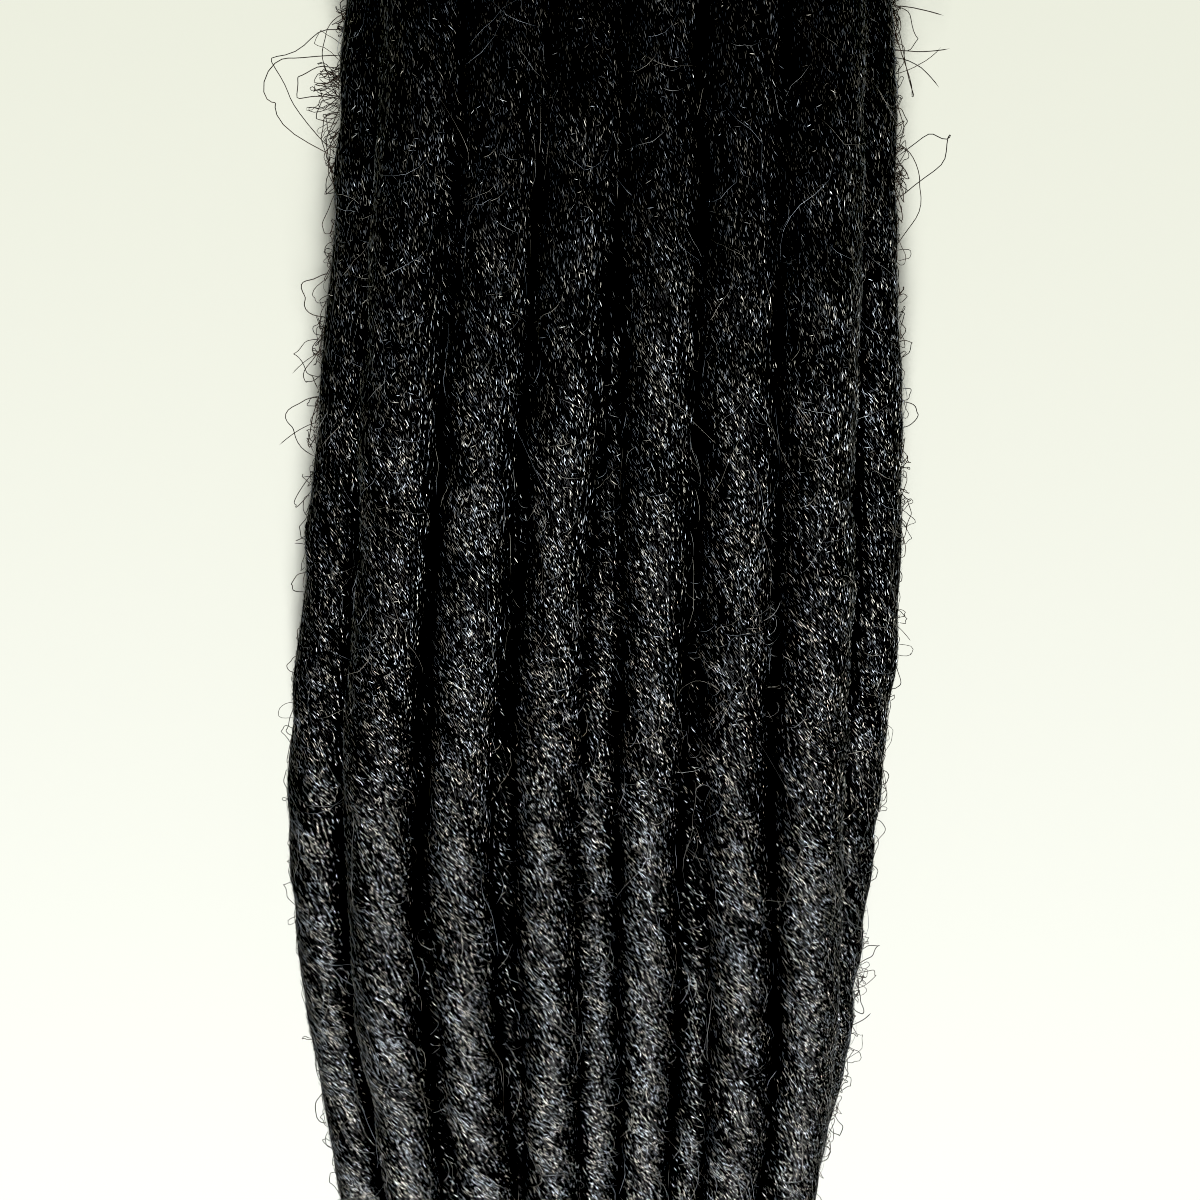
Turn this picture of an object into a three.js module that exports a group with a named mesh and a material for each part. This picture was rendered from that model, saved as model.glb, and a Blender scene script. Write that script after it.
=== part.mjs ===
// A hank of felted dreadlock hair extensions, lying flat as it is laid out on a table.
// Twenty locks run side by side in three levels. Near their roots one plain band ties them,
// they fan out to a wide belly, and they taper and draw together again towards their tips.
// Frame: millimetres, +Z up from the table, +Y towards the roots, +X to the right seen from above.
// The origin is on the table, below the middle of the hank.
import * as THREE from "three";

// Driving dimensions
const LOCK_LENGTH = 300; // from the root end to the longest tip
const ROOT_DIAMETER = 6.8; // of a lock where the band holds it
const CROWN_DIAMETER = 8.8; // where the locks come out of the band and swell
const BELLY_DIAMETER = 8.2; // half-way along
const TIP_DIAMETER = 4.6; // just before the tip rounds off
const TIED_WIDTH = 50; // of the hank inside the band
const BELLY_WIDTH = 75; // of the hank half-way along
const TIP_WIDTH = 44; // of the hank at the tips
const SWAY = 3.4; // how far the hank bends to the left below its belly
const BAND_WIDTH = 11; // along the locks
const BAND_THICKNESS = 1.3;
const ROOT_STUB = 13; // the locks' length beyond the band
const LOCK_GAP = 0.36; // between locks that lie against each other
const BAND_GAP = 0.3; // between the band and the locks in it
const LUMP_DEPTH = 0.5; // of the uneven felting along a lock
const LUMP_LENGTH = 34; // from one lump to the next
const PRESS = 0.45; // how far a lock that rests on the table is pressed flat
const ROUNDING = 5; // length over which a tip or a root end rounds off

// How finely the locks are drawn
const STATIONS = 25; // cross-sections along each lock
const SIDES = 10; // corners of each cross-section
const BAND_SIDES = 40;

// The hank's sections from roots to tips. along is a share of LOCK_LENGTH from its middle,
// width and diameter are the hank's and a lock's, and bend is a share of SWAY to the left.
const SECTIONS = [
  { along: 0.5, width: TIED_WIDTH, diameter: ROOT_DIAMETER, bend: -0.8 },
  { along: 0.42, width: TIED_WIDTH, diameter: ROOT_DIAMETER, bend: -0.8 },
  { along: 0.28, width: 0.79 * BELLY_WIDTH, diameter: CROWN_DIAMETER, bend: -0.9 },
  { along: 0.2, width: 0.86 * BELLY_WIDTH, diameter: CROWN_DIAMETER, bend: -0.45 },
  { along: 0.09, width: 0.97 * BELLY_WIDTH, diameter: BELLY_DIAMETER, bend: -0.4 },
  { along: 0.02, width: BELLY_WIDTH, diameter: BELLY_DIAMETER, bend: 0.1 },
  { along: -0.05, width: BELLY_WIDTH, diameter: 0.97 * BELLY_DIAMETER, bend: 1.1 },
  { along: -0.14, width: 0.97 * BELLY_WIDTH, diameter: 0.92 * BELLY_DIAMETER, bend: 0.8 },
  { along: -0.2, width: 0.81 * BELLY_WIDTH, diameter: 0.86 * BELLY_DIAMETER, bend: 1.1 },
  { along: -0.5, width: TIP_WIDTH, diameter: TIP_DIAMETER, bend: 1 },
];

// The places along the hank, as shares of LOCK_LENGTH from its middle, that the lanes are given for
const LANES = { root: 0.42, belly: 0.03, waist: -0.2, tip: -0.5 };

// The locks. root, belly, waist and tip are where a lock runs across the hank, from -1 at its left
// edge to 1 at its right. level is 2 for the locks on top, 1 for those that show in the grooves
// between them and 0 for those on the table. girth is a share of the section's diameter, and trim
// the share of LOCK_LENGTH by which a lock is shorter than the longest one.
const LOCKS = [
  { root: -1.0, belly: -1.0, waist: -1.0, tip: -1.0, level: 1.6, girth: 1.0, trim: 0.03 },
  { root: -0.84, belly: -0.76, waist: -0.71, tip: -0.7, level: 2, girth: 1.04, trim: 0.0 },
  { root: -0.48, belly: -0.5, waist: -0.42, tip: -0.38, level: 2, girth: 1.02, trim: 0.05 },
  { root: -0.12, belly: -0.2, waist: -0.11, tip: -0.07, level: 2, girth: 0.98, trim: 0.02 },
  { root: 0.19, belly: 0.18, waist: 0.34, tip: 0.33, level: 2, girth: 0.98, trim: 0.0 },
  { root: 0.49, belly: 0.47, waist: 0.79, tip: 0.7, level: 2, girth: 1.02, trim: 0.04 },
  { root: 0.82, belly: 0.73, waist: 1.04, tip: 0.96, level: 2, girth: 1.04, trim: 0.01 },
  { root: 1.0, belly: 1.0, waist: 0.98, tip: 1.0, level: 1.3, girth: 0.95, trim: 0.06 },
  { root: -0.66, belly: -0.65, waist: -0.6, tip: -0.54, level: 1, girth: 0.9, trim: 0.02 },
  { root: -0.32, belly: -0.34, waist: -0.25, tip: -0.2, level: 1.3, girth: 0.9, trim: 0.07 },
  { root: 0.04, belly: 0.0, waist: 0.12, tip: 0.14, level: 1.3, girth: 0.92, trim: 0.03 },
  { root: 0.35, belly: 0.34, waist: 0.59, tip: 0.54, level: 1, girth: 0.86, trim: 0.05 },
  { root: 0.65, belly: 0.63, waist: 0.92, tip: 0.84, level: 1, girth: 0.92, trim: 0.0 },
  { root: -0.9, belly: -0.92, waist: -0.9, tip: -0.88, level: 0, girth: 1.0, trim: 0.04 },
  { root: -0.6, belly: -0.62, waist: -0.6, tip: -0.6, level: 0, girth: 1.03, trim: 0.01 },
  { root: -0.3, belly: -0.32, waist: -0.3, tip: -0.3, level: 0, girth: 0.98, trim: 0.06 },
  { root: 0.0, belly: 0.0, waist: 0.0, tip: 0.0, level: 0, girth: 1.02, trim: 0.02 },
  { root: 0.3, belly: 0.32, waist: 0.3, tip: 0.3, level: 0, girth: 1.0, trim: 0.04 },
  { root: 0.6, belly: 0.62, waist: 0.6, tip: 0.6, level: 0, girth: 1.03, trim: 0.0 },
  { root: 0.9, belly: 0.92, waist: 0.9, tip: 0.88, level: 0, girth: 0.97, trim: 0.05 },
];

// How the locks settle against each other
const SETTLING_ROUNDS = 260;
const LEVEL_HEIGHT = 0.78; // from one level to the next, as a share of a lock's diameter
const LANE_PULL = 0.05; // share of the way back to a lock's own lane, in each round
const DROP = 0.02; // in millimetres in each round
const STRAIGHTENING = 0.25; // share of the way to the middle of the stations before and after
const CLEARING_ROUNDS = 400; // at the end, with no pull, until nothing touches

const bandMiddle = LOCK_LENGTH / 2 - ROOT_STUB - BAND_WIDTH / 2;
const bandFloor = BAND_THICKNESS + BAND_GAP;
const spacing = LOCK_LENGTH / (STATIONS - 1);

// A column's value at a place along the hank, straight between the rows that name a place
function between(rows, y, column) {
  const along = y / LOCK_LENGTH;
  const next = rows.findIndex((row) => row.along <= along);
  if (next < 0) return rows[rows.length - 1][column];
  if (next === 0) return rows[0][column];
  const above = rows[next - 1];
  const below = rows[next];
  const t = (above.along - along) / (above.along - below.along);
  return above[column] + (below[column] - above[column]) * t;
}

// A lock's radius at a place along it, with its uneven felting, before its ends round off
function lockRadius(lock, index, y) {
  const phase = index * 2.4;
  const turn = (2 * Math.PI * y) / LUMP_LENGTH;
  const lump = 0.6 * Math.sin(turn + phase) + 0.4 * Math.sin(1.7 * turn + 2.1 * phase);
  return (between(SECTIONS, y, "diameter") * lock.girth + LUMP_DEPTH * (lump - 1)) / 2;
}

// Where a lock would run if the others left it room
function lane(lock, y) {
  const rows = Object.keys(LANES).map((name) => ({ along: LANES[name], across: lock[name] }));
  const half = (between(SECTIONS, y, "width") - between(SECTIONS, y, "diameter")) / 2;
  return between(rows, y, "across") * half - between(SECTIONS, y, "bend") * SWAY;
}

// The lowest place that a lock's underside may have
function floorAt(y) {
  const reach = BAND_WIDTH / 2 + spacing;
  return Math.abs(y - bandMiddle) < reach ? bandFloor : 0;
}

// The centres of every lock at every station, settled so that the locks lie against each other
function settledCentres() {
  const ys = Array.from({ length: STATIONS }, (_, s) => LOCK_LENGTH / 2 - s * spacing);
  const radii = LOCKS.map((lock, i) => ys.map((y) => lockRadius(lock, i, y)));
  const lanes = LOCKS.map((lock) => ys.map((y) => lane(lock, y)));
  const centres = LOCKS.map((lock, i) =>
    ys.map((y, s) => ({
      x: lanes[i][s],
      z: floorAt(y) + radii[i][s] + lock.level * LEVEL_HEIGHT * 2 * radii[i][s],
    })),
  );

  function pushApart(s) {
    for (let i = 0; i < LOCKS.length; i += 1) {
      for (let j = i + 1; j < LOCKS.length; j += 1) {
        const a = centres[i][s];
        const b = centres[j][s];
        const dx = b.x - a.x;
        const dz = b.z - a.z;
        const distance = Math.hypot(dx, dz) || 1e-6;
        const short = radii[i][s] + radii[j][s] + LOCK_GAP - distance;
        if (short <= 0) continue;
        const share = short / 2 / distance;
        a.x -= dx * share;
        a.z -= dz * share;
        b.x += dx * share;
        b.z += dz * share;
      }
    }
  }

  function liftOffTable(s) {
    const lowest = floorAt(ys[s]) - (floorAt(ys[s]) > 0 ? 0 : PRESS);
    LOCKS.forEach((_, i) => {
      centres[i][s].z = Math.max(centres[i][s].z, lowest + radii[i][s]);
    });
  }

  for (let round = 0; round < SETTLING_ROUNDS; round += 1) {
    centres.forEach((route, i) => {
      const before = route.map((p) => ({ ...p }));
      route.forEach((p, s) => {
        p.x += LANE_PULL * (lanes[i][s] - p.x);
        p.z -= DROP;
        if (s === 0 || s === STATIONS - 1) return;
        p.x += STRAIGHTENING * ((before[s - 1].x + before[s + 1].x) / 2 - before[s].x);
        p.z += STRAIGHTENING * ((before[s - 1].z + before[s + 1].z) / 2 - before[s].z);
      });
    });
    ys.forEach((_, s) => {
      pushApart(s);
      liftOffTable(s);
    });
  }
  for (let round = 0; round < CLEARING_ROUNDS; round += 1) {
    ys.forEach((_, s) => {
      pushApart(s);
      liftOffTable(s);
    });
  }
  return { ys, radii, centres };
}

// How much of a lock's full section is left where its ends round off
function endShare(fromRoot, fromTip) {
  const rootShare = Math.min(1, 0.8 + (0.2 * fromRoot) / ROUNDING);
  const inTip = Math.min(1, fromTip / (3 * ROUNDING));
  return Math.min(rootShare, 0.35 + 0.65 * Math.sqrt(inTip * (2 - inTip)));
}

// A closed body through rings of points, each ring the same length and the same way round
function loft(rings) {
  const sides = rings[0].length;
  const positions = rings.flat().flatMap((p) => [p.x, p.y, p.z]);
  const index = [];
  for (let r = 0; r + 1 < rings.length; r += 1) {
    for (let k = 0; k < sides; k += 1) {
      const a = r * sides + k;
      const b = r * sides + ((k + 1) % sides);
      index.push(a, b, b + sides, a, b + sides, a + sides);
    }
  }
  const last = (rings.length - 1) * sides;
  for (let k = 1; k + 1 < sides; k += 1) {
    index.push(0, k + 1, k, last, last + k, last + k + 1);
  }
  const geometry = new THREE.BufferGeometry();
  geometry.setAttribute("position", new THREE.Float32BufferAttribute(positions, 3));
  geometry.setIndex(index);
  geometry.computeVertexNormals();
  return geometry;
}

// One lock: round sections along its settled route, flat where it is pressed on the table
function lockGeometry(index, settled) {
  const lock = LOCKS[index];
  const { ys, radii, centres } = settled;
  const tipY = -LOCK_LENGTH / 2 + lock.trim * LOCK_LENGTH;
  const kept = ys.map((_, s) => s).filter((s) => ys[s] > tipY + ROUNDING / 2);
  const places = kept.map((s) => ({ y: ys[s], r: radii[index][s], ...centres[index][s] }));
  const end = places[places.length - 1];
  const before = places[places.length - 2];
  for (const y of [tipY + ROUNDING / 2, tipY]) {
    const t = (end.y - y) / spacing;
    places.push({ y, r: end.r, x: end.x + t * (end.x - before.x), z: end.z });
  }
  const rings = places.map(({ x, y, z, r }) => {
    const radius = r * endShare(LOCK_LENGTH / 2 - y, y - tipY);
    return Array.from({ length: SIDES }, (_, k) => {
      const angle = (2 * Math.PI * (k + 0.5)) / SIDES;
      return {
        x: x + radius * Math.sin(angle),
        y,
        z: Math.max(0, z - radius * Math.cos(angle)),
      };
    });
  });
  return loft(rings);
}

// A flat strap pulled round circles: the corners where its flat facets meet, at a distance outside
function strap(circles, distance) {
  const facets = Array.from({ length: BAND_SIDES }, (_, k) => {
    const angle = (-2 * Math.PI * k) / BAND_SIDES;
    const x = Math.cos(angle);
    const z = Math.sin(angle);
    const reach = Math.max(...circles.map((c) => c.x * x + c.z * z + c.r));
    return { x, z, reach: reach + distance };
  });
  return facets.map((a, k) => {
    const b = facets[(k + 1) % BAND_SIDES];
    const cross = a.x * b.z - a.z * b.x;
    return { x: (a.reach * b.z - b.reach * a.z) / cross, z: (a.x * b.reach - b.x * a.reach) / cross };
  });
}

// The band: a flat strap closed round the locks that it holds
function bandGeometry({ ys, radii, centres }) {
  const held = ys.map((_, s) => s).filter((s) => Math.abs(ys[s] - bandMiddle) < BAND_WIDTH / 2 + spacing);
  const circles = held.flatMap((s) => centres.map((route, i) => ({ ...route[s], r: radii[i][s] })));
  const inner = strap(circles, BAND_GAP);
  const outer = strap(circles, BAND_GAP + BAND_THICKNESS);
  const at = (loop, y) => loop.map((p) => ({ x: p.x, y, z: p.z }));
  const front = bandMiddle + BAND_WIDTH / 2;
  const back = bandMiddle - BAND_WIDTH / 2;
  return closedLoop([at(outer, front), at(outer, back), at(inner, back), at(inner, front)]);
}

// A ring-shaped body through loops of points that follow each other round its section
function closedLoop(loops) {
  const sides = loops[0].length;
  const positions = loops.flat().flatMap((p) => [p.x, p.y, p.z]);
  const index = [];
  loops.forEach((_, r) => {
    const next = (r + 1) % loops.length;
    for (let k = 0; k < sides; k += 1) {
      const l = (k + 1) % sides;
      index.push(r * sides + k, next * sides + l, r * sides + l);
      index.push(r * sides + k, next * sides + k, next * sides + l);
    }
  });
  const geometry = new THREE.BufferGeometry();
  geometry.setAttribute("position", new THREE.Float32BufferAttribute(positions, 3));
  geometry.setIndex(index);
  geometry.computeVertexNormals();
  return geometry;
}

const lockMaterial = new THREE.MeshStandardMaterial({ color: 0x141416, roughness: 0.7, metalness: 0 });
const bandMaterial = new THREE.MeshStandardMaterial({ color: 0x0e0e10, roughness: 0.85, metalness: 0 });

function named(name, geometry, material) {
  const mesh = new THREE.Mesh(geometry, material);
  mesh.name = name;
  return mesh;
}

const settled = settledCentres();
const hank = new THREE.Group();
LOCKS.forEach((_, i) => {
  const name = `lock_${String(i + 1).padStart(2, "0")}`;
  hank.add(named(name, lockGeometry(i, settled), lockMaterial));
});
hank.add(named("tie_band", bandGeometry(settled), bandMaterial));

// The origin is below the middle of the hank as it has settled
const middle = new THREE.Box3().setFromObject(hank).getCenter(new THREE.Vector3());
hank.children.forEach((mesh) => mesh.geometry.translate(-middle.x, 0, 0));

export default hank;
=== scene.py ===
"""A hank of felted dreadlock hair extensions lying on a pale table, seen from above.

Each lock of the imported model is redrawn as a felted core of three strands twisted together, and as
thousands of fine hairs that lie along that twist. Longer hairs wander over the locks, cross the
grooves between them and stand off the edges in loops. The routes and thicknesses of the locks are
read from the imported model. Lengths below are millimetres and angles degrees unless a name says
otherwise.
"""
import math

import bpy
import numpy as np
from mathutils import Matrix, Vector


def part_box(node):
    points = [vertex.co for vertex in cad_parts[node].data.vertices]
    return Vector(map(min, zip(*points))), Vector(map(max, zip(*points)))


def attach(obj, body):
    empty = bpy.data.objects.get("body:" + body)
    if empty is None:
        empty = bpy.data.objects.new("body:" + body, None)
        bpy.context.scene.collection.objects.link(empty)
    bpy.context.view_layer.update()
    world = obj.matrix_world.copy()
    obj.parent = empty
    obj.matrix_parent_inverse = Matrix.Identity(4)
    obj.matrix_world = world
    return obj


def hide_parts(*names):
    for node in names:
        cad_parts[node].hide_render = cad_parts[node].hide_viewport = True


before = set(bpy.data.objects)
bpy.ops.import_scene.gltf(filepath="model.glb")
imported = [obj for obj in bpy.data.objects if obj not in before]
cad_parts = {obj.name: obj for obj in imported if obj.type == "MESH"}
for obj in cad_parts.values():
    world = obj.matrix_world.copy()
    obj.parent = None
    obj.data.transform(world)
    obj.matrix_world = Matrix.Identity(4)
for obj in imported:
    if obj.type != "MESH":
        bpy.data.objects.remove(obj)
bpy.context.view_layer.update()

MM = 0.001
SEED = 20

# Camera
FIELD_OF_VIEW = 40.0  # across the square picture
CAMERA_DISTANCE = 203.0
CAMERA_LEAN = 12.0  # from straight above, towards the root ends
CAMERA_AIM = (1.3, 15.0, 8.0)

# Light, from the foot of the picture
KEY_PLACE = (-25, -1040, 660)
KEY_SIZE = (140, 440)
KEY_WATTS = 40.0
SKY = 0.05
BACKDROP_COLOUR = (0.72, 0.73, 0.69, 1)  # plain and pale, seen beyond the table in low views
BLACK_LEVEL = 0.01

# Twist of the hair round a lock, from the lock's own direction
TWIST_AT_ROOT = 15.0
TWIST_AT_TIP = 33.0
TWIST_CHANGES = (70.0, -25.0)  # the stretch of the hank over which it changes

# Relief of the felt
STRANDS = 3
STRAND_DEPTH = 0.5  # of the creases between a lock's strands
LUMP_DEPTH = 1.1
LUMP_SIZE = 6.0
WISP_DEPTH = 0.16
WISP_SIZE = (0.9, 6.0)  # across and along the hair

SWELL = 0.2  # of the felt beyond the solid, before its creases
BAND_SQUEEZE = 0.15  # of the felt under the band
BAND_EASE = 4.0  # length over which the felt swells again beside the band

# Core of a lock
TOP_RINGS, TOP_SIDES = 2.0, 24  # distance between rings, and corners of each, of a lock that shows
LOW_RINGS, LOW_SIDES = 4.0, 12

FELT_DASHES = (9.0, 1.1, 9.0)  # dashes in a millimetre, across, along and across the hair
FELT_GLOSS = 0.25
FELT_ROUGHNESS = 0.5
FELT_BUMP = 0.05

# Felted hairs
HAIRS_PER_MM2 = 17.1
FAR_SHARE = 0.22  # of that number beyond the stretch that the photograph shows
PHOTO_STRETCH = (-75.0, 105.0)
HAIR_LENGTH = (0.4, 0.95)
HAIR_WIDTH = (0.05, 0.08)
HAIR_ROOT = (-0.06, 0.08)  # height of the lower end
HAIR_LEAN = (-8.0, 9.0)  # at the roots and further on, with the end nearer the roots higher
LEAN_CHANGES = (85.0, 25.0)  # the stretch of the hank over which it changes
HAIR_TILT = 8.0  # either side of the lean
HAIR_SPREAD = 7.0  # either side of the twist
HAIR_SWAY = 6.0  # of neighbouring hairs together
FACE_UP = 0.65  # how much the hairs on a lock's flanks face up
HAIR_ROLL = 18.0  # of a hair about its own length
HAIR_ARCH = 0.015
CREST_SHARE = 1.9  # how much the hairs keep to the open crests
SIDE_SHARE = 0.4  # of the hairs where a lock faces sideways or down
UNRULY_SHARE = 0.07  # of hairs that lie any way
UNDERSIDE_SHARE = 0.12  # of the open places that face the table
CUT_ENDS = 120  # hairs that show on each lock's root end
TINT_PATCH = 0.9  # size of the patches of one tint
TINT_SPREAD = 0.22

EVEN_STEPS = (0.7548776662466927, 0.5698402909980532)  # steps that spread places evenly over a square
HAIR_COLOUR = 0.005
HAIR_ROUGHNESS = 0.52
HAIR_IOR = 2.27
HAIR_GLOSS = 1.0
DULL_SHARE = 0.42  # of the hairs that hardly shine
DULL_GLOSS = 0.04
GROOVE_PAINTED_SHADE = 0.7  # how fast the painted shade darkens and dulls the hairs away from the open crests
LONE_HAIR_COLOUR = (0.035, 0.024, 0.016, 1)
HAIR_TINTS = [
    # name, colour of the gloss
    ("cool", (0.82, 0.91, 1.0)),
    ("plain", (0.96, 1.0, 0.98)),
    ("warm", (1.0, 0.97, 0.85)),
]

# Loose hair that lies over the grooves between the locks
WEB_PER_MM2 = 11.0
WEB_STRETCH = (-90.0, 104.0)
WEB_HALF_WIDTH = 34.0
WEB_SOFTNESS = 1.0  # how far the loose hair hangs back from the grooves
WEB_OVER = (0.35, 3.0)  # least and greatest height of it over the locks' felt
WEB_PATCH = (6.0, 22.0, 6.0)
WEB_SHARE = (-0.3, 0.2)  # lowers or raises how much of the grooves it fills, further on and at the roots
WEB_CHANGES = (55.0, -25.0)
WEB_TURN = 8.0  # beyond the twist
WEB_LENGTH = (0.4, 1.2)
WEB_SINK = (-0.9, -0.1)
# tones of the loose hair, kept low: painted shade, as it lies over the grooves
WEB_SHADED_TONE = (0.0, 0.5)

# Longer hairs
LINE_PLACES = 10
LONG_HAIR_TONE = (0.3, 1.0)
LONG_HAIR_GLOSS = 0.5
LYING_RADIUS = (0.022, 0.034)
EDGE_RADIUS = (0.04, 0.06)
STRAY_RADIUS = (0.05, 0.07)
WANDER_LENGTH = (4.0, 18.0)
WANDERERS_PER_LOCK = 90  # on a lock that shows
WILD_SHARE = 0.3  # of them that leave the twist
CROSSERS = 2  # between two neighbours on top
TIP_HAIRS = 12

# Loops of hair at the hank's edges. side is -1 for left, leave and back are the places along the hank
# where the hair leaves it and comes back, reach is how far out it goes and far is where along the
# hank that is.
LOOPS = [
    # side, leave, back, reach, far
    (-1, 81.3, 67.5, 7.6, 77.4),
    (-1, 78.5, 67.2, 8.8, 75.3),
    (-1, 77.1, 74.0, 5.4, 75.5),
    (-1, 83.0, 73.5, 2.6, 79.5),
    (-1, 72.3, 64.7, 2.2, 70.0),
    (-1, 73.5, 63.8, 1.7, 68.0),
    (-1, 70.8, 65.2, 1.3, 67.6),
    (-1, 64.0, 59.2, 1.6, 60.1),
    (-1, 58.1, 56.4, 1.0, 57.2),
    (-1, 54.5, 49.5, 3.2, 52.2),
    (-1, 49.1, 47.3, 1.4, 48.2),
    (-1, 47.0, 42.5, 3.1, 45.2),
    (-1, 46.2, 43.0, 2.2, 42.4),
    (-1, 40.1, 33.1, 3.5, 37.7),
    (-1, 41.0, 36.0, 1.5, 34.8),
    (-1, 31.6, 29.4, 2.6, 27.3),
    (-1, 19.1, 16.6, 1.8, 17.6),
    (-1, 9.0, 6.5, 1.2, 7.5),
    (-1, -21.0, -24.5, 1.4, -22.0),
    (-1, -50.0, -54.0, 1.3, -53.0),
    (1, 84.7, 83.9, 3.2, 74.0),
    (1, 84.4, 79.4, 3.4, 80.8),
    (1, 80.0, 76.0, 1.6, 78.5),
    (1, 73.1, 69.4, 1.7, 71.5),
    (1, 74.0, 68.0, 1.2, 70.5),
    (1, 68.6, 66.6, 1.7, 67.7),
    (1, 68.3, 67.2, 1.9, 65.1),
    (1, 64.3, 62.6, 1.3, 60.3),
    (1, 69.2, 57.3, 3.1, 64.3),
    (1, 67.2, 62.6, 6.5, 69.7),
    (1, 41.3, 39.9, 1.4, 40.7),
    (1, 39.7, 36.5, 2.5, 38.2),
    (1, 28.8, 22.5, 1.3, 26.4),
    (1, 8.5, 4.5, 1.4, 5.0),
    (1, -6.7, -8.5, 1.5, -7.5),
    (1, -13.3, -16.5, 1.6, -14.0),
    (1, -19.5, -21.0, 1.4, -20.0),
    (1, -30.5, -32.5, 2.4, -30.0),
    (1, -33.5, -36.5, 2.8, -34.0),
    (1, -35.0, -38.5, 1.6, -39.5),
    (1, -49.0, -52.0, 2.0, -50.5),
    (1, -53.8, -56.0, 1.7, -57.0),
    (1, -59.0, -61.5, 1.5, -60.0),
]
# Hairs that leave the hank's edges and end free. heading is in degrees from straight out, positive
# towards the roots, curl in degrees a millimetre.
FREE_HAIRS = [
    # side, y, heading, curl, length
    (-1, 45.7, -20, -6, 4.8),
    (-1, 37.3, -15, -4, 5.6),
    (-1, 24.0, -40, 12, 2.2),
    (-1, 22.4, 20, -10, 1.8),
    (1, 83.9, 10, -4, 6.5),
    (1, 79.4, -14, 5, 7.0),
    (1, 78.4, 12, -7, 7.0),
    (1, 76.5, 8, 5, 6.5),
    (1, 12.5, -35, -8, 3.0),
    (1, -41.5, 10, 14, 3.6),
]
# Tangles at the edges
TANGLES = [
    # side, y, spread along the hank, reach, number of hairs
    (-1, 82.0, 2.5, 1.6, 14),
    (-1, 75.5, 2.6, 3.4, 26),
    (-1, 69.0, 3.0, 2.0, 14),
    (-1, 55.0, 3.0, 1.2, 8),
    (-1, 44.5, 4.0, 1.4, 12),
    (-1, 33.0, 4.0, 1.2, 12),
    (1, 80.5, 3.2, 1.3, 24),
    (1, 70.0, 3.0, 1.5, 14),
    (1, 66.0, 2.0, 1.7, 10),
    (1, 55.0, 5.0, 1.0, 16),
    (1, 30.5, 2.5, 1.4, 14),
    (1, -33.0, 3.0, 1.6, 14),
    (1, -52.0, 6.0, 1.1, 14),
]
SMALL_LOOPS = 290
SMALL_REACH = 0.55  # mean of how far out the small loops go
LOOP_PLACES = 22
FUZZ_PLACES = 14
FUZZ_PATCHES = [
    # x, y, spread, number of hairs
    (15.6, 11.0, 4.0, 70),
    (13.0, -3.0, 4.0, 20),
    (-10.0, 3.0, 5.0, 14),
    (-27.0, 60.0, 4.0, 14),
    (28.0, -20.0, 4.0, 12),
    (3.0, -60.0, 8.0, 12),
    (-20.0, -45.0, 6.0, 12),
    (0.0, 20.0, 60.0, 60),
]

# Table
FLOOR_CHANGES = (-60.0, 110.0)  # places along the hank between which its colour changes
FLOOR_NEAR = (0.625, 0.635, 0.592)
FLOOR_FAR = (0.70, 0.715, 0.61)
FLOOR_MOTTLE = 0.08

# Band
BAND_CLEARANCE = 0.2
BAND_THICKNESS = 1.4
BAND_PLACES = 260
BAND_COLUMNS = 31
BAND_SMOOTHING = 3
BAND_RIB = 1.1  # from one rib to the next
BAND_RIB_DEPTH = 0.1
BAND_PICK = 0.9  # from one cross thread to the next


def between(low, high, t):
    return low + (high - low) * t


def smooth_step(t):
    t = np.clip(t, 0.0, 1.0)
    return t * t * (3.0 - 2.0 * t)


def noise(points, seed):
    """Smooth noise from -1 to 1 with bumps about one unit wide. points is an array of places by 3."""
    cell = np.floor(points).astype(np.int64)
    t = smooth_step(points - cell)
    total = np.zeros(len(points))
    for corner in np.ndindex(2, 2, 2):
        at = cell + corner
        mixed = (at[:, 0] * 73856093) ^ (at[:, 1] * 19349663) ^ (at[:, 2] * 83492791) ^ (seed * 2654435)
        mixed = (mixed ^ (mixed >> 13)) * 1274126177
        value = ((mixed ^ (mixed >> 16)) & 0xFFFF) / 32767.5 - 1.0
        weight = np.where(corner, t, 1.0 - t).prod(axis=1)
        total += value * weight
    return total


# Routes of the locks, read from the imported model

def node_points(node):
    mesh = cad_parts[node].data
    co = np.zeros(len(mesh.vertices) * 3)
    mesh.vertices.foreach_get("co", co)
    return co.reshape(-1, 3) / MM


def lock_sections(node):
    """Columns y, x, z and radius of a lock's cross-sections, from its tip to its root end."""
    points = node_points(node)
    rows = []
    for y in np.unique(np.round(points[:, 1], 1)):
        ring = points[np.abs(points[:, 1] - y) < 0.12]
        left, right = ring[ring[:, 0].argmin()], ring[ring[:, 0].argmax()]
        middle = (left + right) / 2
        rows.append((ring[0, 1], middle[0], middle[2], (right[0] - left[0]) / 2))
    return np.array(rows)


def smooth_curve(places, values, at):
    """A smooth curve through values, with slopes from each value's neighbours."""
    slopes = np.gradient(values, places)
    k = np.clip(np.searchsorted(places, at) - 1, 0, len(places) - 2)
    gap = places[k + 1] - places[k]
    t = np.clip((at - places[k]) / gap, 0.0, 1.0)
    return (
        (2 * t**3 - 3 * t**2 + 1) * values[k]
        + (t**3 - 2 * t**2 + t) * gap * slopes[k]
        + (3 * t**2 - 2 * t**3) * values[k + 1]
        + (t**3 - t**2) * gap * slopes[k + 1]
    )


def twist_angle(y):
    start, end = TWIST_CHANGES
    return between(TWIST_AT_ROOT, TWIST_AT_TIP, smooth_step((start - y) / (start - end)))


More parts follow.
